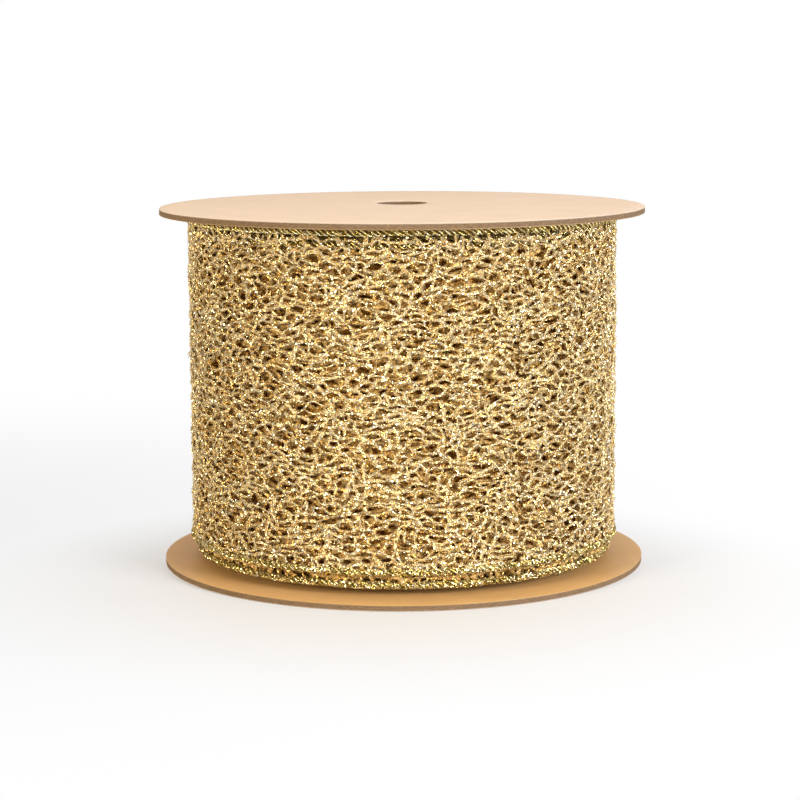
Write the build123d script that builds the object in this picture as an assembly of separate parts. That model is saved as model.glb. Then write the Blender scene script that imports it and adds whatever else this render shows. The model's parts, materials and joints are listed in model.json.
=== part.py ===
from build123d import *
import math
import os

# Ribbon spool: two paper-faced chipboard flanges on a paperboard core tube, wound with a
# wide wire-edged net ribbon whose free end can be lifted off the roll.
# Frame: origin at the centre of the bottom flange's underside, +Z up along the spool's
# axis, +Y towards the back, where the ribbon's free end lies.

# ---- driving dimensions (mm) ----
flange_diameter = 152.4
liner_thickness = 0.25
board_thickness = 1.35
bore_diameter = 16.0

core_length = 108.8
core_outer_diameter = 76.2
core_ply_count = 3
core_ply_thickness = 1.0
glue_leg = 1.6

ribbon_length = 4572.0
ribbon_width = 101.6
net_thickness = 0.6
edge_wrap_diameter = 2.0
edge_wire_diameter = 0.4
wire_clearance = 0.02
wrap_to_net_gap = 0.02
first_turn_gap = 0.03
roll_radius_at_front = 67.2

inner_half_turns = 25
outer_half_turns = 2
inner_turns_foot = 4.1
outer_turn_head_gap = 0.5

peel_angle = 60.0
peel_gap = 0.5
tail_clearance = 0.22

start_tape_width = 50.0
start_tape_length = 30.0
end_tape_width = 19.0
end_tape_length = 26.0
end_tape_grip = 13.0
tape_thickness = 0.08

# ---- derived dimensions ----
flange_radius = flange_diameter / 2
bore_radius = bore_diameter / 2
flange_thickness = 2 * liner_thickness + board_thickness
core_radius = core_outer_diameter / 2
core_inner_radius = core_radius - core_ply_count * core_ply_thickness
overall_height = core_length + 2 * flange_thickness

wrap_radius = edge_wrap_diameter / 2
wire_radius = edge_wire_diameter / 2
first_turn_radius = core_radius + wrap_radius + first_turn_gap
wound_half_turns = inner_half_turns + outer_half_turns
half_turns_to_front = wound_half_turns - 1
pitch = 2 * (roll_radius_at_front - wrap_radius - first_turn_radius) / half_turns_to_front
outer_turn_foot = overall_height - flange_thickness - outer_turn_head_gap - ribbon_width

# The winding is a chain of half circles. Their centres alternate between two points a
# quarter pitch either side of the axis, on the line through the peel line, so each half
# circle starts tangent to the one before it and a whole turn adds one pitch of radius.
peel_direction = Vector(1, 0, 0).rotate(Axis.Z, peel_angle)
smallest_arc_radius = first_turn_radius + pitch / 4


def half_turn_centre(index):
    """Centre of a half circle. The last wound one ends at the peel line."""
    side = 1 if (wound_half_turns - index) % 2 else -1
    return peel_direction * (side * pitch / 4)


def half_turn_radius(index):
    return smallest_arc_radius + index * pitch / 2


def half_turn_start(index):
    """Angle in degrees at which a half circle starts."""
    return peel_angle - 180.0 * (wound_half_turns - index)


def arc(index, offset, start_trim=0.0, span=180.0, extra_radius=0.0):
    """The arc of a half turn, moved out by offset, in the plane z = 0."""
    start = half_turn_start(index) + start_trim
    radius = half_turn_radius(index) + offset + extra_radius
    return CenterArc(half_turn_centre(index), radius, start, span - start_trim)


def trim_angle(index):
    """Half of the peel gap, as an angle on a half turn."""
    return math.degrees(peel_gap / 2 / half_turn_radius(index))


def ribbon_arcs(first, count, offset):
    """Arcs of consecutive half turns; both ends stop half a peel gap short."""
    arcs = []
    for index in range(first, first + count):
        start_trim = trim_angle(index) if index == first else 0.0
        end_trim = trim_angle(index) if index == first + count - 1 else 0.0
        arcs.append(arc(index, offset, start_trim, 180.0 - end_trim))
    return arcs


def wound_length():
    return sum(math.pi * half_turn_radius(index) for index in range(wound_half_turns))


tail_length = ribbon_length - wound_length()
tail_index = wound_half_turns
tail_radius = half_turn_radius(tail_index) + tail_clearance
tail_span = math.degrees(tail_length / tail_radius)
hinge_radius = first_turn_radius + wound_half_turns * pitch / 2 + tail_clearance + wrap_radius


def tail_arcs(offset):
    return [arc(tail_index, offset, trim_angle(tail_index), tail_span, tail_clearance)]


def disc(bottom, thickness):
    """A round sheet with the spindle hole in it."""
    blank = Cylinder(flange_radius, thickness, align=(Align.CENTER, Align.CENTER, Align.MIN))
    hole = Cylinder(bore_radius, thickness, align=(Align.CENTER, Align.CENTER, Align.MIN))
    return Pos(0, 0, bottom) * (blank - hole)


def flange(name, bottom, outer_liner_below):
    """A board between two liners, from the bottom up."""
    names = [f"{name}_outer_liner", f"{name}_board", f"{name}_inner_liner"]
    if not outer_liner_below:
        names.reverse()
    heights = [liner_thickness, board_thickness, liner_thickness]
    layers = {}
    for layer_name, height in zip(names, heights):
        layers[layer_name] = disc(bottom, height)
        bottom += height
    return layers


def core_plies():
    """Paper tubes, one inside the other, from the inside out."""
    plies = {}
    inner = core_inner_radius
    for name in ("core_inner_ply", "core_middle_ply", "core_outer_ply"):
        align = (Align.CENTER, Align.CENTER, Align.MIN)
        outside = Cylinder(inner + core_ply_thickness, core_length, align=align)
        inside = Cylinder(inner, core_length, align=align)
        plies[name] = Pos(0, 0, flange_thickness) * (outside - inside)
        inner += core_ply_thickness
    return plies


def glue_ring(corner_height, direction):
    """A bead of glue in the corner between the core's inside and a flange."""
    corner = (core_inner_radius, corner_height)
    along_flange = (core_inner_radius - glue_leg, corner_height)
    along_core = (core_inner_radius, corner_height + direction * glue_leg)
    outline = Polyline(corner, along_flange, along_core, close=True)
    section = Plane.XZ * make_face(outline)
    return revolve(section, Axis.Z, 360)


def net(arcs_at, foot):
    """The ribbon's web: a band of net_thickness between its two edge wraps."""
    outside = arcs_at(net_thickness / 2)
    inside = arcs_at(-net_thickness / 2)
    first_end = Line(inside[0] @ 0, outside[0] @ 0)
    last_end = Line(inside[-1] @ 1, outside[-1] @ 1)
    outline = make_face(outside + inside + [first_end, last_end])
    margin = edge_wrap_diameter + wrap_to_net_gap
    return extrude(Pos(0, 0, foot + margin) * outline, ribbon_width - 2 * margin, dir=(0, 0, 1))


def swept(arcs, height, outer_radius, inner_radius=0.0):
    """A round cord along the arcs, hollow when it has an inner radius."""
    path = Pos(0, 0, height) * Wire(arcs)
    start_plane = Plane(origin=path @ 0, z_dir=path % 0)
    section = start_plane * Circle(outer_radius)
    if inner_radius:
        section -= start_plane * Circle(inner_radius)
    return sweep(section, path)


def ribbon_stretch(name, arcs_at, foot):
    """One stretch of ribbon: its net, two edge wraps and the two wires inside them."""
    pieces = {f"ribbon_net_{name}": net(arcs_at, foot)}
    arcs = arcs_at(0.0)
    heights = {"lower": foot + wrap_radius, "upper": foot + ribbon_width - wrap_radius}
    for edge, height in heights.items():
        wrap = swept(arcs, height, wrap_radius, wire_radius + wire_clearance)
        pieces[f"{edge}_edge_wrap_{name}"] = wrap
        pieces[f"{edge}_edge_wire_{name}"] = swept(arcs, height, wire_radius)
    return pieces


def tape(centre, inner_radius, first_angle, length, width, height):
    """A strip of tape bent round the spool's axis."""
    span = math.degrees(length / inner_radius)
    inside = CenterArc(centre, inner_radius, first_angle, span)
    outside = CenterArc(centre, inner_radius + tape_thickness, first_angle, span)
    ends = [Line(inside @ 0, outside @ 0), Line(inside @ 1, outside @ 1)]
    outline = make_face([inside, outside] + ends)
    return extrude(Pos(0, 0, height - width / 2) * outline, width, dir=(0, 0, 1))


def inner_arcs(offset):
    return ribbon_arcs(0, inner_half_turns, offset)


def outer_arcs(offset):
    return ribbon_arcs(inner_half_turns, outer_half_turns, offset)


pieces = {}
pieces.update(flange("bottom_flange", 0.0, outer_liner_below=True))
pieces.update(flange("top_flange", overall_height - flange_thickness, outer_liner_below=False))
pieces.update(core_plies())
pieces["bottom_glue_ring"] = glue_ring(flange_thickness, 1)
pieces["top_glue_ring"] = glue_ring(overall_height - flange_thickness, -1)

pieces.update(ribbon_stretch("inner_turns", inner_arcs, inner_turns_foot))
pieces.update(ribbon_stretch("outer_turn", outer_arcs, outer_turn_foot))
pieces.update(ribbon_stretch("tail", tail_arcs, outer_turn_foot))

start_tape_angle = half_turn_start(0)
start_tape_height = inner_turns_foot + ribbon_width / 2
pieces["ribbon_start_tape"] = tape(
    Vector(0, 0, 0), core_radius, start_tape_angle, start_tape_length, start_tape_width, start_tape_height
)

end_tape_radius = tail_radius + net_thickness / 2
tail_end_angle = half_turn_start(tail_index) + tail_span
end_tape_angle = tail_end_angle - math.degrees(end_tape_grip / end_tape_radius)
end_tape_height = outer_turn_foot + ribbon_width / 2
pieces["ribbon_end_tape"] = tape(
    half_turn_centre(tail_index), end_tape_radius, end_tape_angle, end_tape_length, end_tape_width, end_tape_height
)

os.makedirs("parts", exist_ok=True)
for node, shape in pieces.items():
    export_step(shape, f"parts/{node}.step")

hinge_point = peel_direction * hinge_radius
print(f"pitch {pitch:.4f}  wound length {wound_length():.1f}  tail {tail_length:.1f} mm, {tail_span:.2f} degrees")
print(f"hinge at {hinge_point.X:.4f}, {hinge_point.Y:.4f}  overall height {overall_height:.3f}")
print(f"outer turn foot {outer_turn_foot:.3f}  start of winding at {half_turn_start(0) % 360:.1f} degrees")
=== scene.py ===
import json
import math
import bpy
import numpy as np
from mathutils import Matrix, Vector


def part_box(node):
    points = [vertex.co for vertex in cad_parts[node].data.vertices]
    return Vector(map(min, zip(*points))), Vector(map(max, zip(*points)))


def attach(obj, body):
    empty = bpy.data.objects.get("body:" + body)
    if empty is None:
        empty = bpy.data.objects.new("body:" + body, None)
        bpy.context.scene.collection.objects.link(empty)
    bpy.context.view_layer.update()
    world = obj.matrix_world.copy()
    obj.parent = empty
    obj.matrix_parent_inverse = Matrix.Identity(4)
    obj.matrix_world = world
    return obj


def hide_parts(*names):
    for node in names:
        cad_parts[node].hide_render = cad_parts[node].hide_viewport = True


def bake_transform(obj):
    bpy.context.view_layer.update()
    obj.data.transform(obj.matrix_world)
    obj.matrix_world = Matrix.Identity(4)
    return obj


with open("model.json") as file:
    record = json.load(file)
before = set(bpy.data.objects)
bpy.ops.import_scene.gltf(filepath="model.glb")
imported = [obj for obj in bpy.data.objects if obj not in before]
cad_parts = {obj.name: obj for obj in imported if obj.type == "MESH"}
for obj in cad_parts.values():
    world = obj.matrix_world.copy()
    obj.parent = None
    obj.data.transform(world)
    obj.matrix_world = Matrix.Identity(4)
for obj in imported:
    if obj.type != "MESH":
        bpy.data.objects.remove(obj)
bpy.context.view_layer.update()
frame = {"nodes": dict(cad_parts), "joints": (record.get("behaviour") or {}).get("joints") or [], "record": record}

# Ribbon spool: kraft-faced chipboard flanges, a paperboard core and a wire-edged gold net
# ribbon. Everything is in metres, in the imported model's frame.

mm = 0.001
TAU = 2 * math.pi

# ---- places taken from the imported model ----
overall_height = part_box("top_flange_outer_liner")[1][2]
flange_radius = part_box("top_flange_board")[1][0]
bore_radius = frame["record"]["mounts"][0]["dims"]["r_mm"] * mm
core_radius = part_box("core_outer_ply")[1][0]
wrap_low, wrap_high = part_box("upper_edge_wrap_tail")
cord_radius = (wrap_high[2] - wrap_low[2]) / 2
inner_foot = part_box("lower_edge_wrap_inner_turns")[0][2]
outer_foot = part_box("lower_edge_wrap_outer_turn")[0][2]
ribbon_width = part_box("upper_edge_wrap_outer_turn")[1][2] - outer_foot
hinge = frame["joints"][0]["pos_m"]
peel_angle = math.atan2(hinge[1], hinge[0])
hinge_radius = math.hypot(hinge[0], hinge[1])

# ---- the ribbon's spiral ----
wound_turns = 13.5
inner_turns = 12.5
tail_clearance = 0.22 * mm
tail_length = 60.6 * mm
first_radius = core_radius + cord_radius + 0.03 * mm
pitch = (hinge_radius - tail_clearance - cord_radius - first_radius) / wound_turns
climb_length = 46 * mm
roll_lean = 0.5 * mm
inner_stretch = 0.006
deep_stretch = 0.010
deep_from_turns = 0.6
deep_over_turns = 0.8
tail_step_length = 4 * mm

# ---- the ribbon's net and cords ----
net_foot, net_head = 2 * cord_radius, ribbon_width - 2 * cord_radius
net_step = 2.7 * mm
net_row = 2.05 * mm
edge_rows = np.array([0.1, 1.4, 3.2]) * mm
edge_band = 5.2 * mm
web_depth = 0.32 * mm
strand_radius = 0.48 * mm
thread_radius = 0.06 * mm
thread_share = 0.32
grain_size = 0.42 * mm
outer_grains, second_grains, under_grains, tail_grains = 48000, 32000, 10000, 21000
cord_lay = 5.7 * mm
cord_yarn_count = 3
cord_grains_per_mm = 60
wire_radius = 0.2 * mm


def length_at(turns):
    """Ribbon length wound on after a number of turns."""
    return TAU * turns * (first_radius + pitch * turns / 2)


def turns_at(length):
    """The inverse of length_at, for arrays."""
    half = first_radius / pitch
    return np.sqrt(half * half + length / (math.pi * pitch)) - half


start_of_outer = length_at(inner_turns)
end_of_outer = length_at(wound_turns)


def smooth(x):
    x = np.clip(x, 0.0, 1.0)
    return x * x * (3 - 2 * x)


def wound(flat):
    """Bends points of the flat ribbon (along, up, out) onto the spiral."""
    along, up, out = flat[:, 0], flat[:, 1], flat[:, 2]
    turns = turns_at(along)
    climb = smooth((along - start_of_outer) / climb_length)
    deep = smooth((inner_turns - deep_from_turns - turns) / deep_over_turns)
    stretched = 1 + (inner_stretch + deep_stretch * deep) * (1 - climb)
    foot = inner_foot + (outer_foot - inner_foot) * climb
    on_tail = smooth((along - end_of_outer) / tail_step_length + 0.5)
    angle = peel_angle + TAU * (turns - wound_turns)
    lean = roll_lean * (turns / wound_turns) ** 2 * (1 - np.cos(angle))
    radius = first_radius + pitch * turns + out + lean + tail_clearance * on_tail
    return np.column_stack((radius * np.cos(angle), radius * np.sin(angle), foot + up * stretched))


# ---- mesh building ----
def piece_from(name, vertices, faces, material, shade_smooth=True):
    """A mesh object. faces is a list of arrays, each with one face per row."""
    mesh = bpy.data.meshes.new(name)
    mesh.vertices.add(len(vertices))
    mesh.vertices.foreach_set("co", np.ascontiguousarray(vertices, np.float32).ravel())
    loops = np.concatenate([f.ravel() for f in faces]).astype(np.int32)
    sizes = np.concatenate([np.full(len(f), f.shape[1], np.int32) for f in faces])
    starts = np.concatenate(([0], np.cumsum(sizes)[:-1])).astype(np.int32)
    mesh.loops.add(len(loops))
    mesh.loops.foreach_set("vertex_index", loops)
    mesh.polygons.add(len(sizes))
    mesh.polygons.foreach_set("loop_start", starts)
    mesh.update(calc_edges=True)
    mesh.polygons.foreach_set("use_smooth", np.full(len(sizes), shade_smooth))
    mesh.materials.append(material)
    piece = bpy.data.objects.new(name, mesh)
    bpy.context.scene.collection.objects.link(piece)
    return piece


def tubes(lines, radii, sides, flatness=1.0):
    """Closed tubes along lines[tube, point, (along, up, out)]; returns vertices and faces."""
    count, points, _ = lines.shape
    tangent = np.gradient(lines, axis=1)
    across = np.stack((-tangent[..., 1], tangent[..., 0], np.zeros((count, points))), axis=-1)
    across /= np.maximum(np.linalg.norm(across, axis=-1, keepdims=True), 1e-12)
    tangent /= np.maximum(np.linalg.norm(tangent, axis=-1, keepdims=True), 1e-12)
    outward = np.cross(tangent, across)
    turn = (np.arange(sides) + 0.5) * TAU / sides
    ring = (
        across[:, :, None, :] * np.cos(turn)[None, None, :, None]
        + outward[:, :, None, :] * np.sin(turn)[None, None, :, None] * flatness
    )
    vertices = lines[:, :, None, :] + ring * radii[:, :, None, None]
    index = np.arange(count * points * sides).reshape(count, points, sides)
    near, far = index[:, :-1], index[:, 1:]
    walls = np.stack((near, np.roll(near, -1, 2), np.roll(far, -1, 2), far), axis=-1)
    caps = np.concatenate((index[:, 0, ::-1], index[:, -1]))
    return vertices.reshape(-1, 3), [walls.reshape(-1, 4), caps]


def joined(parts):
    """Joins (vertices, faces) pairs into one."""
    offset, vertices, faces = 0, [], []
    for part_vertices, part_faces in parts:
        vertices.append(part_vertices)
        faces += [f + offset for f in part_faces]
        offset += len(part_vertices)
    return np.concatenate(vertices), faces


# ---- the net ----
def drift(along, up, random, size, lowest=9 * mm, highest=30 * mm):
    """A smooth random field, mostly within -size to size, with waves between two lengths."""
    wave_count = 7
    total = np.zeros_like(along)
    for _ in range(wave_count):
        wave = random.uniform(lowest, highest)
        heading = random.uniform(0, TAU)
        phase = random.uniform(0, TAU)
        total += np.sin(TAU * (along * math.cos(heading) + up * math.sin(heading)) / wave + phase)
    return total * size / math.sqrt(wave_count)


def row_heights():
    """Heights of the net's rows on the flat ribbon, closer together beside the edges."""
    low, high = net_foot + edge_band, net_head - edge_band
    gaps = int(round((high - low) / net_row))
    middle = np.linspace(low, high, gaps + 1)
    return np.concatenate((net_foot + edge_rows, middle, net_head - edge_rows[::-1]))


def net_knots(start, length, random):
    """The knots of an irregular net on the flat ribbon, as knots[column, row, axis].

    Each knot strays from a regular grid, by shares of the net's own steps.
    """
    staggered, jitter_up, jitter_along = 0.16, 0.34, 0.42
    drift_up, drift_along = 0.5, 0.45
    heights = row_heights()
    columns, rows = int(round(length / net_step)), len(heights) - 1
    i, j = np.meshgrid(np.arange(columns + 1), np.arange(rows + 1), indexing="ij")
    gap = np.minimum(np.gradient(heights), net_row)[j]
    inside = ((j > 0) & (j < rows)).astype(float)
    stagger = np.where((i + j) % 2 == 0, staggered, -staggered)
    up = heights[j] + inside * gap * (stagger + random.uniform(-jitter_up, jitter_up, i.shape))
    along = start + i * length / columns + net_step * random.uniform(-jitter_along, jitter_along, i.shape)
    shift_up = drift(along, up, random, drift_up) * gap * inside
    shift_along = drift(along, up, random, drift_along * net_step)
    out = random.uniform(-1, 1, i.shape) * web_depth
    return np.stack((along + shift_along, up + shift_up, out), axis=-1)


def net_strands(start, length, random, points):
    """Strands between the knots of a net: (lines, radii). Some are left out."""
    lost_rows, lost_links, extra_links = 0.04, 0.05, 0.16
    most_bow, density_drift = 0.18, 0.30
    at_knots, thinner_between = 1.25, 0.45
    knots = net_knots(start, length, random)
    columns, rows = knots.shape[0] - 1, knots.shape[1] - 1
    rows_kept = random.random((columns, rows + 1)) > lost_rows
    rows_kept[:, [0, -1]] = False
    chance = random.random((columns + 1, rows))
    linked = np.add.outer(np.arange(columns + 1), np.arange(rows)) % 2 == 0
    linked[:, [0, -1]] = True
    links_kept = np.where(linked, chance > lost_links, chance < extra_links)
    links_kept[0] = False
    first = np.concatenate((knots[:-1][rows_kept], knots[:, :-1][links_kept]))
    last = np.concatenate((knots[1:][rows_kept], knots[:, 1:][links_kept]))

    t = np.linspace(0, 1, points)[None, :, None]
    arch = np.sin(math.pi * t)
    lines = first[:, None] * (1 - t) + last[:, None] * t
    sideways = (last - first)[:, [1, 0, 2]] * [-1, 1, 0]
    bow = sideways * random.uniform(-most_bow, most_bow, (len(first), 1))
    lines += bow[:, None] * arch
    thick = strand_radius * random.uniform(0.6, 1.4, (len(first), 1))
    dense = drift(first[:, 0], first[:, 1], random, density_drift, lowest=6 * mm, highest=22 * mm)
    thick *= np.clip(1 + dense, 0.6, 1.5)[:, None]
    ripple = random.uniform(0.85, 1.15, (len(first), points))
    return lines, thick * (at_knots - thinner_between * arch[..., 0]) * ripple


def fine_threads(lines, radii, random):
    """Thin pale threads lying on the strands, many of them running on past a knot."""
    shortest, longest = 0.9, 2.1
    strays, wobbles, lifted = 0.35 * mm, 0.15 * mm, 0.15 * mm
    edge_margin = 1.5 * cord_radius
    chosen = random.permutation(len(lines))[: int(thread_share * len(lines))]
    path = lines[chosen]
    count, points, _ = path.shape
    middle = path.mean(axis=1, keepdims=True)
    path = middle + (path - middle) * random.uniform(shortest, longest, (count, 1, 1))
    path[..., :2] += random.uniform(-1, 1, (count, 1, 2)) * strays
    path[..., 1] += random.uniform(-1, 1, (count, points)) * wobbles
    path[..., 1] = np.clip(path[..., 1], edge_margin, ribbon_width - edge_margin)
    path[..., 2] += radii[chosen] / 2 + random.uniform(0, 1, (count, 1)) * lifted
    thin = thread_radius * random.uniform(0.7, 1.3, (count, 1)) * np.ones((1, points))
    return path, thin


def shards(centre, facing, random):
    """Glitter grains: small closed four-faced shards, each tilted its own way."""
    tilt, smallest, largest, peak = 0.55, 0.55, 1.35, 0.4
    count = len(centre)
    normal = facing + random.normal(0, tilt, (count, 3))
    normal /= np.linalg.norm(normal, axis=1, keepdims=True)
    side = np.cross(normal, random.normal(0, 1, (count, 3)))
    side /= np.linalg.norm(side, axis=1, keepdims=True)
    other = np.cross(normal, side)
    half = grain_size / 2 * random.uniform(smallest, largest, (count, 1))
    turn = np.arange(3) * TAU / 3
    corners = [centre + half * (side * math.cos(q) + other * math.sin(q)) for q in turn]
    corners.append(centre + half * peak * normal)
    vertices = np.stack(corners, axis=1).reshape(-1, 3)
    base = np.arange(count)[:, None] * len(corners)
    sides = ([0, 1, 3], [1, 2, 3], [2, 0, 3], [0, 2, 1])
    return vertices, [np.concatenate([base + corner_numbers for corner_numbers in sides])]


def net_grains(lines, radii, count, random):
    """Grains on the outer side of the strands."""
    lowest, highest = 0.35, 0.95
    which = random.integers(0, len(lines), count)
    t = random.random((count, 1)) * (lines.shape[1] - 1)
    low = np.minimum(t[:, 0].astype(int), lines.shape[1] - 2)
    part = t - low[:, None]
    centre = lines[which, low] * (1 - part) + lines[which, low + 1] * part
    across = random.uniform(-1.0, 1.0, (2, count))
    outward = random.uniform(lowest, highest, count)
    centre = centre + radii[which, low][:, None] * np.column_stack((across[0], across[1], outward))
    return shards(centre, np.array([0.0, 0.0, 1.0]), random)


def strand_piece(name, strands, material, sides, flatness=1.0):
    vertices, faces = tubes(*strands, sides, flatness)
    return piece_from(name, wound(vertices), faces, material)


def grain_piece(name, grains, material):
    vertices, faces = grains
    return piece_from(name, wound(vertices), faces, material, shade_smooth=False)


# ---- edge cords ----
def edge_centre(edge):
    return cord_radius if edge == "lower" else ribbon_width - cord_radius


def cord_wander(along, random):
    """How far a cord strays up and down along its way."""
    return drift(along, along * 0, random, 0.12 * mm, lowest=5 * mm, highest=16 * mm)


def cord_yarns(along, centre_up, wander, random):
    """Metallic yarns laid round the core of an edge cord, on the flat ribbon."""
    yarn_share, swelling, uneven_lay, loose_by = 0.27, 0.07, 0.45, 0.04 * mm
    phase_error, outermost, taller, flatter = 0.25, 1.04, 1.08, 0.92
    level = along * 0
    parts = []
    for yarn in range(cord_yarn_count):
        laid = -TAU * (along / cord_lay + yarn / cord_yarn_count)
        phase = laid + random.uniform(-phase_error, phase_error)
        phase += drift(along, level, random, uneven_lay, lowest=4 * mm, highest=13 * mm)
        swell = np.abs(drift(along, level, random, swelling, lowest=2 * mm, highest=9 * mm))
        thick = cord_radius * (yarn_share + swell)
        loose = drift(along, level, random, loose_by, lowest=3 * mm, highest=9 * mm)
        reach = outermost * cord_radius - thick + loose
        up = centre_up + wander + reach * np.sin(phase) * taller
        out = reach * np.cos(phase) * flatter
        parts.append(tubes(np.stack((along, up, out), axis=-1)[None], thick[None], sides=5))
    return joined(parts)


def cord_grains(start, length, centre_up, count, random):
    """Grains all round an edge cord, thickest on its outer side."""
    spread, deepest, highest = 1.2, 0.80, 1.16
    along = start + random.random(count) * length
    turn = random.normal(0, spread, count)
    facing = np.column_stack((along * 0, np.sin(turn), np.cos(turn)))
    reach = cord_radius * random.uniform(deepest, highest, (count, 1))
    centre = np.column_stack((along, along * 0 + centre_up, along * 0)) + facing * reach
    return shards(centre, facing, random)


# ---- materials ----
def new_material(name):
    material = bpy.data.materials.new(name)
    material.use_nodes = True
    return material, material.node_tree


def feed(tree, socket, value):
    """Links another node's output to a socket, or sets the socket to a constant."""
    if isinstance(value, bpy.types.NodeSocket):
        tree.links.new(value, socket)
    else:
        socket.default_value = value


def feed_named(tree, made, inputs):
    """Feeds a node's sockets by name. An underscore stands for a space."""
    for key, value in inputs.items():
        feed(tree, made.inputs[key.replace("_", " ")], value)


def node(tree, kind, settings=None, **inputs):
    made = tree.nodes.new(kind)
    for key, value in (settings or {}).items():
        setattr(made, key, value)
    feed_named(tree, made, inputs)
    return made


def maths(tree, operation, *values, kind="ShaderNodeMath"):
    """The result of a maths node whose sockets are fed in their order."""
    made = node(tree, kind, {"operation": operation})
    for socket, value in zip(made.inputs, values):
        feed(tree, socket, value)
    return made.outputs[0]


def surface(tree, **inputs):
    """Feeds the material's Principled shader."""
    feed_named(tree, tree.nodes["Principled BSDF"], inputs)


def object_coordinates(tree):
    return tree.nodes.new("ShaderNodeTexCoord").outputs["Object"]


def noise(tree, place, **inputs):
    return node(tree, "ShaderNodeTexNoise", Vector=place, **inputs).outputs["Fac"]


def scaled_place(tree, place, scale):
    return node(tree, "ShaderNodeMapping", Vector=place, Scale=scale).outputs[0]


def bump(tree, height, strength, distance):
    return node(tree, "ShaderNodeBump", Strength=strength, Distance=distance, Height=height).outputs[0]


def ramp(tree, factor, stops):
    made = tree.nodes.new("ShaderNodeValToRGB")
    elements = made.color_ramp.elements
    while len(elements) < len(stops):
        elements.new(0.5)
    for element, (position, colour) in zip(elements, stops):
        element.position = position
        element.color = (*colour, 1)
    tree.links.new(factor, made.inputs["Fac"])
    return made.outputs["Color"]


def mixed_colour(tree, factor, first, second, blend_type="MIX"):
    made = node(tree, "ShaderNodeMix", {"data_type": "RGBA", "blend_type": blend_type})
    feed(tree, made.inputs["Factor"], factor)
    feed(tree, made.inputs[6], first)
    feed(tree, made.inputs[7], second)
    return made.outputs[2]


def facets(tree, size, tilt):
    """Surface normal broken into randomly tilted glitter facets, and the facets' random colour."""
    cells = node(tree, "ShaderNodeTexVoronoi", Vector=object_coordinates(tree), Scale=1 / size)
    colour = cells.outputs["Color"]
    vector = "ShaderNodeVectorMath"
    centred = maths(tree, "SUBTRACT", colour, (0.5, 0.5, 0.5), kind=vector)
    scaled = node(tree, vector, {"operation": "SCALE"}, Scale=tilt)
    tree.links.new(centred, scaled.inputs[0])
    flat = tree.nodes.new("ShaderNodeNewGeometry").outputs["Normal"]
    tilted = maths(tree, "ADD", flat, scaled.outputs[0], kind=vector)
    return maths(tree, "NORMALIZE", tilted, kind=vector), colour


def glitter_material(name, stops, facet_size, facet_tilt, metallic, roughness, specular=0.5):
    """Metallised film: colour drifts along the strands and each facet tilts its own way."""
    facet_share, drift_share = 0.75, 0.3
    material, tree = new_material(name)
    normal, colour = facets(tree, facet_size, facet_tilt)
    tone = noise(tree, object_coordinates(tree), Scale=900.0, Detail=3.0)
    facet_value = node(tree, "ShaderNodeSeparateColor", Color=colour).outputs["Green"]
    drifting = maths(tree, "MULTIPLY", tone, drift_share)
    factor = maths(tree, "MULTIPLY_ADD", facet_value, facet_share, drifting)
    surface(tree, Base_Color=ramp(tree, factor, stops), Normal=normal)
    surface(tree, Metallic=metallic, Roughness=roughness)
    surface(tree, Specular_IOR_Level=specular, Specular_Tint=(1.0, 0.82, 0.46, 1))
    return material


def kraft_material(name, stops, roughness, specular):
    """Smooth kraft paper, greyer on its cut edges: faint fibres and soft mottling."""
    material, tree = new_material(name)
    place = object_coordinates(tree)
    fibre = noise(tree, scaled_place(tree, place, (1, 3.5, 1)), Scale=1500.0, Detail=4.0, Roughness=0.65)
    mottle = noise(tree, place, Scale=70.0, Detail=5.0, Roughness=0.6)
    factor = maths(tree, "MULTIPLY_ADD", fibre, 0.5, maths(tree, "MULTIPLY", mottle, 0.5))
    paper = ramp(tree, factor, stops)
    normal = tree.nodes.new("ShaderNodeNewGeometry").outputs["Normal"]
    upright = node(tree, "ShaderNodeSeparateXYZ", Vector=normal).outputs["Z"]
    level = maths(tree, "ABSOLUTE", upright)
    cut_edge = ramp(tree, level, [(0.3, (0.34, 0.36, 0.38)), (0.9, (1, 1, 1))])
    surface(tree, Base_Color=mixed_colour(tree, 1.0, paper, cut_edge, "MULTIPLY"))
    surface(tree, Normal=bump(tree, fibre, 0.18, 0.03 * mm))
    surface(tree, Roughness=roughness, Specular_IOR_Level=specular)
    return material


def chipboard_material(name):
    """Cut chipboard: pressed grey-brown layers with short fibres and dark flecks."""
    material, tree = new_material(name)
    layered = scaled_place(tree, object_coordinates(tree), (1, 1, 7))
    fibre = noise(tree, layered, Scale=900.0, Detail=5.0, Roughness=0.7)
    fleck = node(tree, "ShaderNodeTexVoronoi", Vector=layered, Scale=1400.0).outputs["Distance"]
    board = ramp(tree, fibre, [
        (0.30, (0.058, 0.037, 0.021)), (0.5, (0.128, 0.080, 0.044)), (0.7, (0.22, 0.140, 0.078)),
    ])
    dark = maths(tree, "LESS_THAN", fleck, 0.16)
    surface(tree, Base_Color=mixed_colour(tree, dark, board, (0.09, 0.055, 0.03, 1)))
    surface(tree, Normal=bump(tree, fibre, 0.6, 0.08 * mm))
    surface(tree, Roughness=0.85, Specular_IOR_Level=0.2)
    return material


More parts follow.
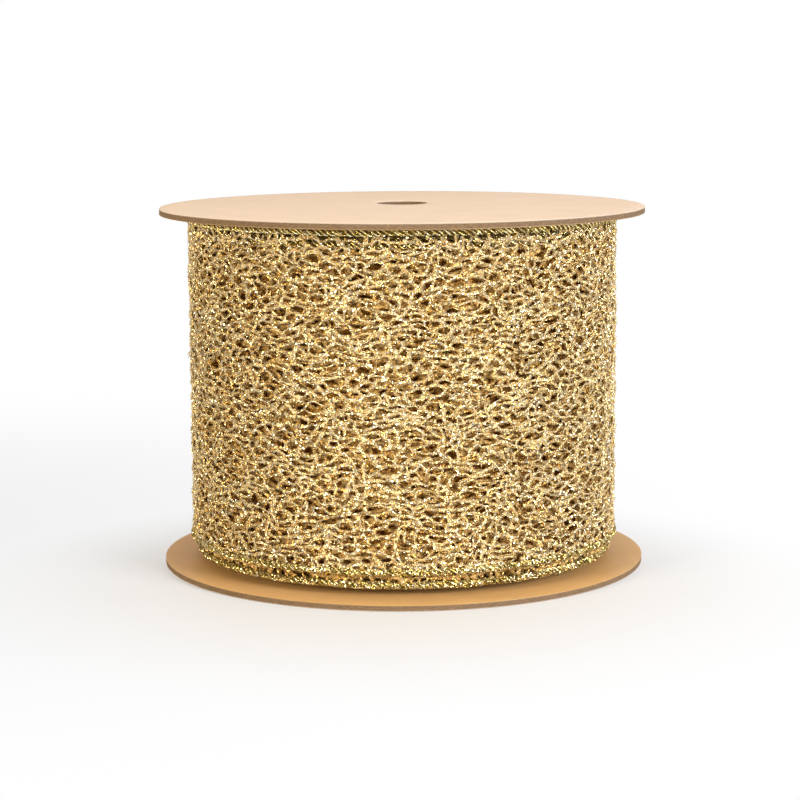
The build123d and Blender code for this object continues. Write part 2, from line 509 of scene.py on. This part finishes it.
def core_material(name):
    """Spiral-wound paper: one helical seam and faint fibres."""
    seam_rise = 80 * mm
    material, tree = new_material(name)
    place = object_coordinates(tree)
    split = node(tree, "ShaderNodeSeparateXYZ", Vector=place).outputs
    angle = maths(tree, "ARCTAN2", split["Y"], split["X"])
    around = maths(tree, "DIVIDE", angle, TAU)
    seam = maths(tree, "FRACT", maths(tree, "MULTIPLY_ADD", split["Z"], 1 / seam_rise, around))
    edge = ramp(tree, seam, [(0.0, (0.45, 0.45, 0.45)), (0.02, (1, 1, 1)), (1.0, (0.93, 0.93, 0.93))])
    fibre = noise(tree, place, Scale=700.0, Detail=4.0)
    paper = ramp(tree, fibre, [(0.3, (0.36, 0.25, 0.15)), (0.7, (0.52, 0.38, 0.25))])
    surface(tree, Base_Color=mixed_colour(tree, 1.0, paper, edge, "MULTIPLY"), Roughness=0.8)
    return material


def painted_shade_net_material(name):
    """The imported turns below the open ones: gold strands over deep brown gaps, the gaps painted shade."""
    mesh_size = 2.6 * mm
    material, tree = new_material(name)
    squeezed = scaled_place(tree, object_coordinates(tree), (1, 1, 1.6))
    to_edge = {"feature": "DISTANCE_TO_EDGE"}
    cells = node(tree, "ShaderNodeTexVoronoi", to_edge, Vector=squeezed, Scale=1 / mesh_size)
    # Gold along the cell edges, darkening to deep brown inside the cells: painted shade in the holes.
    strands = ramp(tree, cells.outputs["Distance"], [
        (0.0, (0.66, 0.34, 0.08)), (0.12, (0.46, 0.20, 0.034)),
        (0.20, (0.20, 0.075, 0.010)), (1.0, (0.12, 0.042, 0.006)),
    ])
    normal, _ = facets(tree, 0.3 * mm, 1.0)
    surface(tree, Base_Color=strands, Normal=normal, Metallic=0.5, Roughness=0.5, Specular_IOR_Level=0.1)
    return material


def wire_material(name):
    """Drawn iron wire, a little uneven in tone."""
    material, tree = new_material(name)
    drawn = noise(tree, object_coordinates(tree), Scale=2500.0, Detail=2.0)
    steel = ramp(tree, drawn, [(0.3, (0.30, 0.29, 0.27)), (0.7, (0.50, 0.48, 0.45))])
    surface(tree, Base_Color=steel, Metallic=0.9, Roughness=0.38)
    return material


def glue_material(name):
    """Dried amber glue with small clots."""
    material, tree = new_material(name)
    clots = noise(tree, object_coordinates(tree), Scale=320.0, Detail=3.0)
    amber = ramp(tree, clots, [(0.3, (0.62, 0.48, 0.28)), (0.7, (0.78, 0.68, 0.48))])
    surface(tree, Base_Color=amber, Normal=bump(tree, clots, 0.5, 0.2 * mm), Roughness=0.3)
    return material


def tape_material(name):
    """Clear tape: faint drag lines, mostly see-through."""
    material, tree = new_material(name)
    lines = noise(tree, object_coordinates(tree), Scale=420.0, Detail=2.0)
    tint = ramp(tree, lines, [(0.3, (0.86, 0.84, 0.76)), (0.7, (0.95, 0.94, 0.88))])
    surface(tree, Base_Color=tint, Normal=bump(tree, lines, 0.12, 0.05 * mm), Roughness=0.14)
    surface(tree, Alpha=0.13)
    return material


net_stops = [
    (0.18, (0.20, 0.09, 0.011)), (0.34, (0.73, 0.47, 0.14)),
    (0.56, (1.0, 0.83, 0.46)), (0.85, (1.0, 0.98, 0.86)),
]
# Net gold darkened and browned for the turn just under the outer one: painted shade.
second_painted_shade_stops = [
    (0.15, (0.22, 0.09, 0.012)), (0.38, (0.68, 0.42, 0.12)),
    (0.7, (0.96, 0.73, 0.36)), (0.95, (1.0, 0.92, 0.64)),
]
# Darker still, for the turn under that: painted deeper shade.
under_painted_shade_stops = [(0.15, (0.26, 0.10, 0.014)), (0.5, (0.72, 0.39, 0.095)), (0.95, (1.0, 0.76, 0.36))]
olive_stops = [
    (0.15, (0.34, 0.24, 0.04)), (0.4, (0.70, 0.55, 0.17)),
    (0.7, (0.97, 0.89, 0.52)), (0.95, (1.0, 1.0, 0.85)),
]
# Near black edge cord core: painted shade showing between the yarns.
painted_shade_core_stops = [(0.2, (0.06, 0.034, 0.004)), (0.8, (0.17, 0.10, 0.018))]
grain_stops = [
    (0.15, (0.60, 0.38, 0.10)), (0.45, (0.97, 0.80, 0.44)),
    (0.66, (1.0, 0.94, 0.72)), (0.88, (1.0, 0.99, 0.95)),
]
# Glitter darkened for the inner turns: painted shade.
grain_painted_shade_stops = [(0.15, (0.36, 0.19, 0.03)), (0.5, (0.84, 0.58, 0.20)), (0.92, (1.0, 0.90, 0.58))]
grain_olive_stops = [
    (0.15, (0.10, 0.065, 0.010)), (0.45, (0.42, 0.31, 0.085)),
    (0.75, (0.92, 0.82, 0.48)), (0.92, (1.0, 1.0, 0.94)),
]
cream_stops = [(0.15, (0.80, 0.55, 0.24)), (0.5, (0.93, 0.72, 0.40)), (0.95, (1.0, 0.90, 0.66))]
kraft_stops = [(0.3, (0.635, 0.493, 0.381)), (0.5, (0.678, 0.529, 0.414)), (0.7, (0.712, 0.559, 0.445))]
# Inner liners: browner than the outer kraft, partly the paper's own tone and partly painted shade and gold
# reflected from the roll.
brown_and_painted_shade_stops = [(0.3, (0.475, 0.270, 0.104)), (0.5, (0.515, 0.297, 0.116)), (0.7, (0.56, 0.329, 0.135))]

net_gold = glitter_material("net_gold", net_stops, 0.36 * mm, 2.2, 0.65, 0.20, specular=0.3)
# The next two golds are darker copies of the net's gold: painted shade on the turns under the outer one.
second_gold_painted_shade = glitter_material("second_gold_painted_shade", second_painted_shade_stops, 0.38 * mm, 2.0, 0.6, 0.28, specular=0.2)
under_gold_painted_shade = glitter_material("under_gold_painted_shade", under_painted_shade_stops, 0.42 * mm, 1.8, 0.55, 0.35, specular=0.2)
cord_gold = glitter_material("cord_gold", olive_stops, 0.60 * mm, 0.7, 0.75, 0.22)
cord_core_painted_shade = glitter_material("cord_core_painted_shade", painted_shade_core_stops, 0.40 * mm, 1.0, 0.5, 0.4, specular=0.1)
grain_gold = glitter_material("grain_gold", grain_stops, 0.8 * mm, 0.6, 0.90, 0.15)
grain_olive = glitter_material("grain_olive", grain_olive_stops, 0.8 * mm, 0.6, 0.90, 0.15)
# Glitter of the inner turns, darker than the outer turn's: painted shade.
grain_painted_shade = glitter_material("grain_painted_shade", grain_painted_shade_stops, 0.8 * mm, 0.6, 0.85, 0.25)
thread_cream = glitter_material("thread_cream", cream_stops, 0.5 * mm, 0.5, 0.0, 0.55)
kraft = kraft_material("kraft_liner", kraft_stops, roughness=0.9, specular=0.04)
# Browner inner liner: partly its own tone, partly painted shade and reflected gold.
brown_kraft_and_painted_shade = kraft_material("brown_kraft_liner", brown_and_painted_shade_stops, roughness=0.5, specular=0.45)
chipboard = chipboard_material("chipboard")
core_paper = core_material("core_paperboard")
packed_net_painted_shade = painted_shade_net_material("packed_net_painted_shade")
wire_steel = wire_material("edge_wire")
glue = glue_material("glue")
clear_tape = tape_material("clear_tape")


# ---- ribbon pieces ----
def finish_piece(piece, replaced=(), body="spool"):
    if replaced:
        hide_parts(*replaced)
    if body == "ribbon_tail":
        bend_over_peel(piece)
    else:
        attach(piece, body)


def bend_over_peel(piece):
    """Bakes the tail piece's placement into its mesh; nothing here bends it with the joint."""
    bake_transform(piece)


def net_stretch(label, start, length, seed, golds, grains, replaced, points=3, threads=True, body="spool"):
    """One stretch of net: its strands, the glitter on them and fine loose threads.

    golds are the materials of the strands and of the glitter.
    """
    random = np.random.default_rng(seed)
    strands = net_strands(start, length, random, points)
    net = strand_piece(f"ribbon_net_{label}", strands, golds[0], sides=5, flatness=0.6)
    finish_piece(net, [f"ribbon_net_{replaced}"], body)
    glitter = net_grains(*strands, grains, random)
    pieces = [grain_piece(f"glitter_{label}", glitter, golds[1])]
    if threads:
        loose = fine_threads(*strands, random)
        pieces.append(strand_piece(f"fine_threads_{label}", loose, thread_cream, sides=3))
    for piece in pieces:
        finish_piece(piece, body=body)


def edge_cords(label, start, length, seed, replaced, body="spool", points_per_mm=3.0, glitter=True):
    """The two edge cords of one stretch of ribbon: a core painted near black as shade between the yarns, yarns
    round it and glitter.
    """
    along = start + np.linspace(0, length, int(length / mm * points_per_mm))
    core_share = 0.62
    for number, (edge, grain_share) in enumerate((("lower", 1.0), ("upper", 0.2))):
        random = np.random.default_rng(seed + number)
        centre_up = edge_centre(edge)
        wander = cord_wander(along, random)
        line = np.stack((along, centre_up + wander, along * 0), axis=-1)[None]
        core = (line, np.full((1, len(along)), core_share * cord_radius))
        # The core is painted near black: shade in the gaps between the yarns.
        piece = strand_piece(f"{edge}_edge_cord_core_{label}", core, cord_core_painted_shade, sides=6)
        finish_piece(piece, [f"{edge}_edge_wrap_{replaced}"], body)
        vertices, faces = cord_yarns(along, centre_up, wander, random)
        piece = piece_from(f"{edge}_edge_cord_{label}", wound(vertices), faces, cord_gold)
        finish_piece(piece, body=body)
        if glitter:
            count = int(length / mm * cord_grains_per_mm * grain_share)
            loose = cord_grains(start, length, centre_up, count, random)
            piece = grain_piece(f"{edge}_edge_glitter_{label}", loose, grain_olive)
            finish_piece(piece, body=body)


def edge_wires(label, start, length, body="spool"):
    """The thin wires inside the edge cords, bent with them."""
    point_spacing = 2 * mm
    points = int(length / point_spacing)
    along = start + np.linspace(0, length, points)
    for edge in ("lower", "upper"):
        line = np.stack((along, along * 0 + edge_centre(edge), along * 0), axis=-1)[None]
        wire = (line, np.full((1, points), wire_radius))
        piece = strand_piece(f"{edge}_edge_wire_{label}_bent", wire, wire_steel, sides=6)
        finish_piece(piece, [f"{edge}_edge_wire_{label}"], body)


def make_outer_turn():
    sectors = 3
    outer_length = end_of_outer - start_of_outer
    sector_length = outer_length / sectors
    for sector in range(sectors):
        start = start_of_outer + sector * sector_length
        label = f"outer_turn_{sector + 1}"
        golds = (net_gold, grain_gold)
        net_stretch(label, start, sector_length, 100 + sector, golds, outer_grains, "outer_turn")
    edge_cords("outer_turn", start_of_outer, outer_length, 120, "outer_turn")
    edge_wires("outer_turn", start_of_outer, outer_length)


def make_inner_turns():
    """Two more open turns in four half turns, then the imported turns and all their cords."""
    for number in range(4):
        start = length_at(inner_turns - (number + 1) / 2)
        length = length_at(inner_turns - number / 2) - start
        # The deeper half turns get the darker gold: painted shade, not a different film.
        gold, grains = (second_gold_painted_shade, second_grains) if number < 2 else (under_gold_painted_shade, under_grains)
        label = f"inner_half_turn_{number + 1}"
        golds = (gold, grain_painted_shade)
        net_stretch(
            label, start, length, 200 + number, golds, grains, "inner_turns", points=2, threads=False,
        )
    make_packed_turns(inner_turns - 2)
    near_start = length_at(inner_turns - 1.5)
    edge_cords("last_inner_turns", near_start, start_of_outer - near_start, 220, "inner_turns")
    edge_cords("first_inner_turns", 0.0, near_start, 222, "inner_turns", points_per_mm=1.0, glitter=False)
    edge_wires("inner_turns", 0.0, start_of_outer)


def make_packed_turns(turns):
    """The turns too deep to see through: one continuous sheet on the same spiral."""
    length = length_at(turns)
    columns_per_turn, rows = 120, 30
    columns = int(turns * columns_per_turn)
    half_thickness, waviness = 0.12 * mm, 0.12 * mm
    way, height = np.linspace(0, length, columns), np.linspace(net_foot, net_head, rows)
    along, up = np.meshgrid(way, height, indexing="ij")
    random = np.random.default_rng(230)
    out = drift(along, up, random, waviness, lowest=6 * mm, highest=18 * mm)
    layers = [np.stack((along, up, out + side), axis=-1) for side in (half_thickness, -half_thickness)]
    index = np.arange(columns * rows).reshape(columns, rows)
    corners = (index[:-1, :-1], index[1:, :-1], index[1:, 1:], index[:-1, 1:])
    front = np.stack(corners, axis=-1).reshape(-1, 4)
    back = front[:, ::-1] + index.size
    rim = np.concatenate((index[:, 0], index[-1, 1:], index[-2::-1, -1], index[0, -2:0:-1]))
    following = np.roll(rim, -1)
    wall = np.stack((rim, rim + index.size, following + index.size, following), axis=-1)
    vertices = wound(np.concatenate(layers).reshape(-1, 3))
    # This sheet's material paints shade into the holes of its net.
    piece = piece_from("ribbon_net_packed_turns", vertices, [front, back, wall], packed_net_painted_shade)
    finish_piece(piece, ["ribbon_net_inner_turns"])


def make_tail():
    """The free end. Its cords stop a little short of the net."""
    cord_setback = 0.8 * mm
    golds = (net_gold, grain_gold)
    net_stretch("tail_end", end_of_outer, tail_length, 300, golds, tail_grains, "tail", body="ribbon_tail")
    edge_cords("tail", end_of_outer, tail_length - cord_setback, 320, "tail", "ribbon_tail")
    edge_wires("tail", end_of_outer, tail_length, "ribbon_tail")


make_outer_turn()
make_inner_turns()
make_tail()


# ---- flanges ----
def lathe(profile, segments):
    """A closed ring of revolution from a closed (radius, height) outline."""
    angle = (np.arange(segments) * TAU / segments)[:, None]
    radius, height = profile[None, :, 0], profile[None, :, 1]
    places = (radius * np.cos(angle), radius * np.sin(angle), np.repeat(height, segments, 0))
    vertices = np.stack(places, axis=-1)
    index = np.arange(segments * len(profile)).reshape(segments, len(profile))
    following = np.roll(index, -1, 0)
    faces = np.stack((index, following, np.roll(following, -1, 1), np.roll(index, -1, 1)), axis=-1)
    return vertices.reshape(-1, 3), faces.reshape(-1, 4)


def ring_outline(inner, outer, low, high, round_low, round_high):
    """Outline of a flat ring, anticlockwise, with its outer and inner corners rounded."""
    corner_steps, spokes = 4, 14
    points = []

    def corner(radius, height, size, start):
        for step in range(corner_steps + 1):
            turn = start + math.pi / 2 * step / corner_steps
            points.append((radius + size * math.cos(turn), height + size * math.sin(turn)))

    corner(outer - round_low, low + round_low, round_low, -math.pi / 2)
    corner(outer - round_high, high - round_high, round_high, 0)
    for step in range(1, spokes):
        points.append((outer + (inner - outer) * step / spokes, high))
    corner(inner + round_high, high - round_high, round_high, math.pi / 2)
    corner(inner + round_low, low + round_low, round_low, math.pi)
    for step in range(1, spokes):
        points.append((inner + (outer - inner) * step / spokes, low))
    return np.array(points)


def ragged_edges(vertices, depth, random):
    """Cuts a layer's rim and bore back unevenly, by up to about depth, and leaves the rest."""
    edge_start, edge_width = 1.2 * mm, 1.0 * mm
    radius = np.hypot(vertices[:, 0], vertices[:, 1])
    angle = np.arctan2(vertices[:, 1], vertices[:, 0])
    wave = np.zeros(len(vertices))
    for _ in range(9):
        waves_round = random.integers(20, 190)
        phase = random.uniform(0, TAU)
        wave += np.sin(waves_round * angle + phase + vertices[:, 2] * random.uniform(500, 4000))
    at_rim = np.clip((radius - flange_radius + edge_start) / edge_width, 0, 1)
    at_bore = np.clip((bore_radius + edge_start - radius) / edge_width, 0, 1)
    change = np.abs(wave) / 3 * depth * (at_bore - at_rim)
    vertices[:, 0] += change * np.cos(angle)
    vertices[:, 1] += change * np.sin(angle)


def flange_layer(node_name, corners, set_in, ragged, material, seed, dome):
    """One layer of a flange, with worn corners, slightly rough cut edges and a domed middle."""
    low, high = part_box(node_name)[0][2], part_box(node_name)[1][2]
    outline = ring_outline(bore_radius + set_in, flange_radius - set_in, low, high, *corners)
    vertices, faces = lathe(outline, segments=420)
    radius = np.hypot(vertices[:, 0], vertices[:, 1])
    ragged_edges(vertices, ragged, np.random.default_rng(seed))
    vertices[:, 2] += dome * (1 - (radius / flange_radius) ** 2)
    piece = piece_from(f"{node_name}_cut", vertices, [faces], material)
    finish_piece(piece, [node_name])


def make_flanges():
    """Each flange from the bottom up: a liner, the board and the other liner."""
    worn, glued = 0.10 * mm, 0.02 * mm
    board_round, board_set_in = 0.04 * mm, 0.04 * mm
    paper_ragged, board_ragged = 0.03 * mm, 0.06 * mm
    top_dome = 0.9 * mm
    papers = {"outer": kraft, "inner": brown_kraft_and_painted_shade}
    sides = {"bottom_flange": ("outer", "inner"), "top_flange": ("inner", "outer")}
    for number, (place, (under, over)) in enumerate(sides.items()):
        dome = number * top_dome
        flange_layer(
            f"{place}_{under}_liner", (worn, glued), 0.0, paper_ragged,
            papers[under], 400 + number, dome,
        )
        flange_layer(
            f"{place}_board", (board_round, board_round), board_set_in, board_ragged,
            chipboard, 410 + number, dome,
        )
        flange_layer(
            f"{place}_{over}_liner", (glued, worn), 0.0, paper_ragged,
            papers[over], 420 + number, dome,
        )


make_flanges()


# ---- CAD nodes that stay ----
kept_nodes = {
    "core_inner_ply": core_paper, "core_middle_ply": core_paper, "core_outer_ply": core_paper,
    "bottom_glue_ring": glue, "top_glue_ring": glue,
    "ribbon_start_tape": clear_tape, "ribbon_end_tape": clear_tape,
}
for name, material in kept_nodes.items():
    slots = frame["nodes"][name].material_slots
    for index in range(len(slots)):
        slots[index].material = material


# ---- floor, light and camera ----
def pool(tree, place, centre, reach, values):
    """A value that goes smoothly from one to another with distance from a point."""
    distance = node(tree, "ShaderNodeVectorMath", {"operation": "DISTANCE"})
    feed(tree, distance.inputs[0], place)
    feed(tree, distance.inputs[1], centre)
    return node(
        tree, "ShaderNodeMapRange", {"interpolation_type": "SMOOTHSTEP"}, Value=distance.outputs["Value"],
        From_Min=reach[0], From_Max=reach[1], To_Min=values[0], To_Max=values[1],
    ).outputs["Result"]


def floor_material():
    """Pale near the spool, brightening into the white backdrop a little way from it. The backdrop glow is painted
    light, a quarter of it even beside the spool over the lit floor, and it dims towards a point left of and behind
    the spool as a painted soft shadow.
    """
    material, tree = new_material("floor")
    place = object_coordinates(tree)
    tone = noise(tree, place, Scale=2.0, Detail=2.0)
    pale = ramp(tree, tone, [(0.3, (0.58, 0.58, 0.60)), (0.7, (0.60, 0.60, 0.62))])
    surface(tree, Base_Color=pale, Roughness=0.6, Specular_IOR_Level=0.1)
    # A quarter of the floor glows beside the spool, painting light over its shading; it is all glow from 0.145 m
    # out.
    fade = pool(tree, place, (0.0, -0.04, 0.0), reach=(0.045, 0.145), values=(0.25, 1.0))
    # Glow dimmed to 0.88 near a point left of and behind the spool: painted soft shadow.
    backdrop_glow_painted_shadow = pool(tree, place, (-0.20, 0.05, 0.0), reach=(0.02, 0.34), values=(0.88, 1.0))
    backdrop = node(tree, "ShaderNodeEmission", Color=(1, 1, 1, 1), Strength=backdrop_glow_painted_shadow)
    mixed = tree.nodes.new("ShaderNodeMixShader")
    tree.links.new(fade, mixed.inputs[0])
    tree.links.new(tree.nodes["Principled BSDF"].outputs[0], mixed.inputs[1])
    tree.links.new(backdrop.outputs[0], mixed.inputs[2])
    tree.links.new(mixed.outputs[0], tree.nodes["Material Output"].inputs["Surface"])
    return material


def make_floor():
    """A disc of rings that grow with distance from the spool's axis."""
    segments = 96
    rings = np.array([0.0005, 0.1, 0.3, 0.8, 2.0, 6.0])
    angle = np.arange(segments) * TAU / segments
    flat = np.zeros((len(rings), segments))
    vertices = np.stack((np.outer(rings, np.cos(angle)), np.outer(rings, np.sin(angle)), flat), axis=-1)
    index = np.arange(flat.size).reshape(flat.shape)
    following = np.roll(index, -1, 1)
    faces = np.stack((index[:-1], index[1:], following[1:], following[:-1]), axis=-1).reshape(-1, 4)
    floor = piece_from("floor", vertices.reshape(-1, 3), [faces, index[:1]], floor_material())


def make_world():
    """A studio: white behind the spool and above it, darker on the side one looks from."""
    world = bpy.data.worlds.new("studio")
    bpy.context.scene.world = world
    world.use_nodes = True
    tree = world.node_tree
    place = tree.nodes.new("ShaderNodeTexCoord").outputs["Generated"]
    split = node(tree, "ShaderNodeSeparateXYZ", Vector=place).outputs
    behind_and_above = maths(tree, "ADD", split["Z"], split["Y"])
    span = node(tree, "ShaderNodeMapRange", Value=behind_and_above, From_Min=-1.0, From_Max=1.4)
    room = ramp(tree, span.outputs[0], [
        (0.0, (0.065, 0.056, 0.04)), (0.35, (0.13, 0.115, 0.085)),
        (0.6, (0.41, 0.39, 0.35)), (1.0, (0.7, 0.69, 0.67)),
    ])
    seen = tree.nodes.new("ShaderNodeLightPath").outputs["Is Camera Ray"]
    shown = mixed_colour(tree, seen, room, (1, 1, 1, 1))
    feed_named(tree, tree.nodes["Background"], {"Color": shown, "Strength": 1.0})


def area_light(name, place, size, power, colour=(1, 1, 1)):
    """A square light aimed at the middle of the spool."""
    data = bpy.data.lights.new(name, "AREA")
    data.shape = "RECTANGLE"
    data.size = data.size_y = size
    data.energy = power
    data.color = colour
    light = bpy.data.objects.new(name, data)
    bpy.context.scene.collection.objects.link(light)
    light.location = place
    aim = Vector((0.0, 0.0, overall_height / 2)) - Vector(place)
    light.rotation_euler = aim.to_track_quat("-Z", "Y").to_euler()


def make_camera():
    """A long lens, a little above the spool and tipped down at it."""
    data = bpy.data.cameras.new("camera")
    data.lens = 104.2
    data.sensor_width = 36.0
    camera = bpy.data.objects.new("camera", data)
    bpy.context.scene.collection.objects.link(camera)
    tip_down, level_error = 0.1504, -0.0052
    aside, back, up = -0.0122, -9.5838, 2.1163
    turned = Matrix.Rotation(math.pi / 2 - tip_down, 4, "X") @ Matrix.Rotation(level_error, 4, "Z")
    place = Vector((aside, back, up)) * flange_radius
    camera.matrix_world = Matrix.Translation(place) @ turned
    bpy.context.scene.camera = camera


make_floor()
make_world()
area_light("top_softbox", (0.1, -0.2, 1.5), 1.2, 4.0)
area_light("key_right", (1.25, -1.1, 0.52), 0.75, 58.0)
area_light("fill_left", (-1.25, -1.05, 0.44), 0.6, 36.0, (1.0, 0.86, 0.60))
make_camera()
bpy.context.scene.view_settings.view_transform = "Standard"
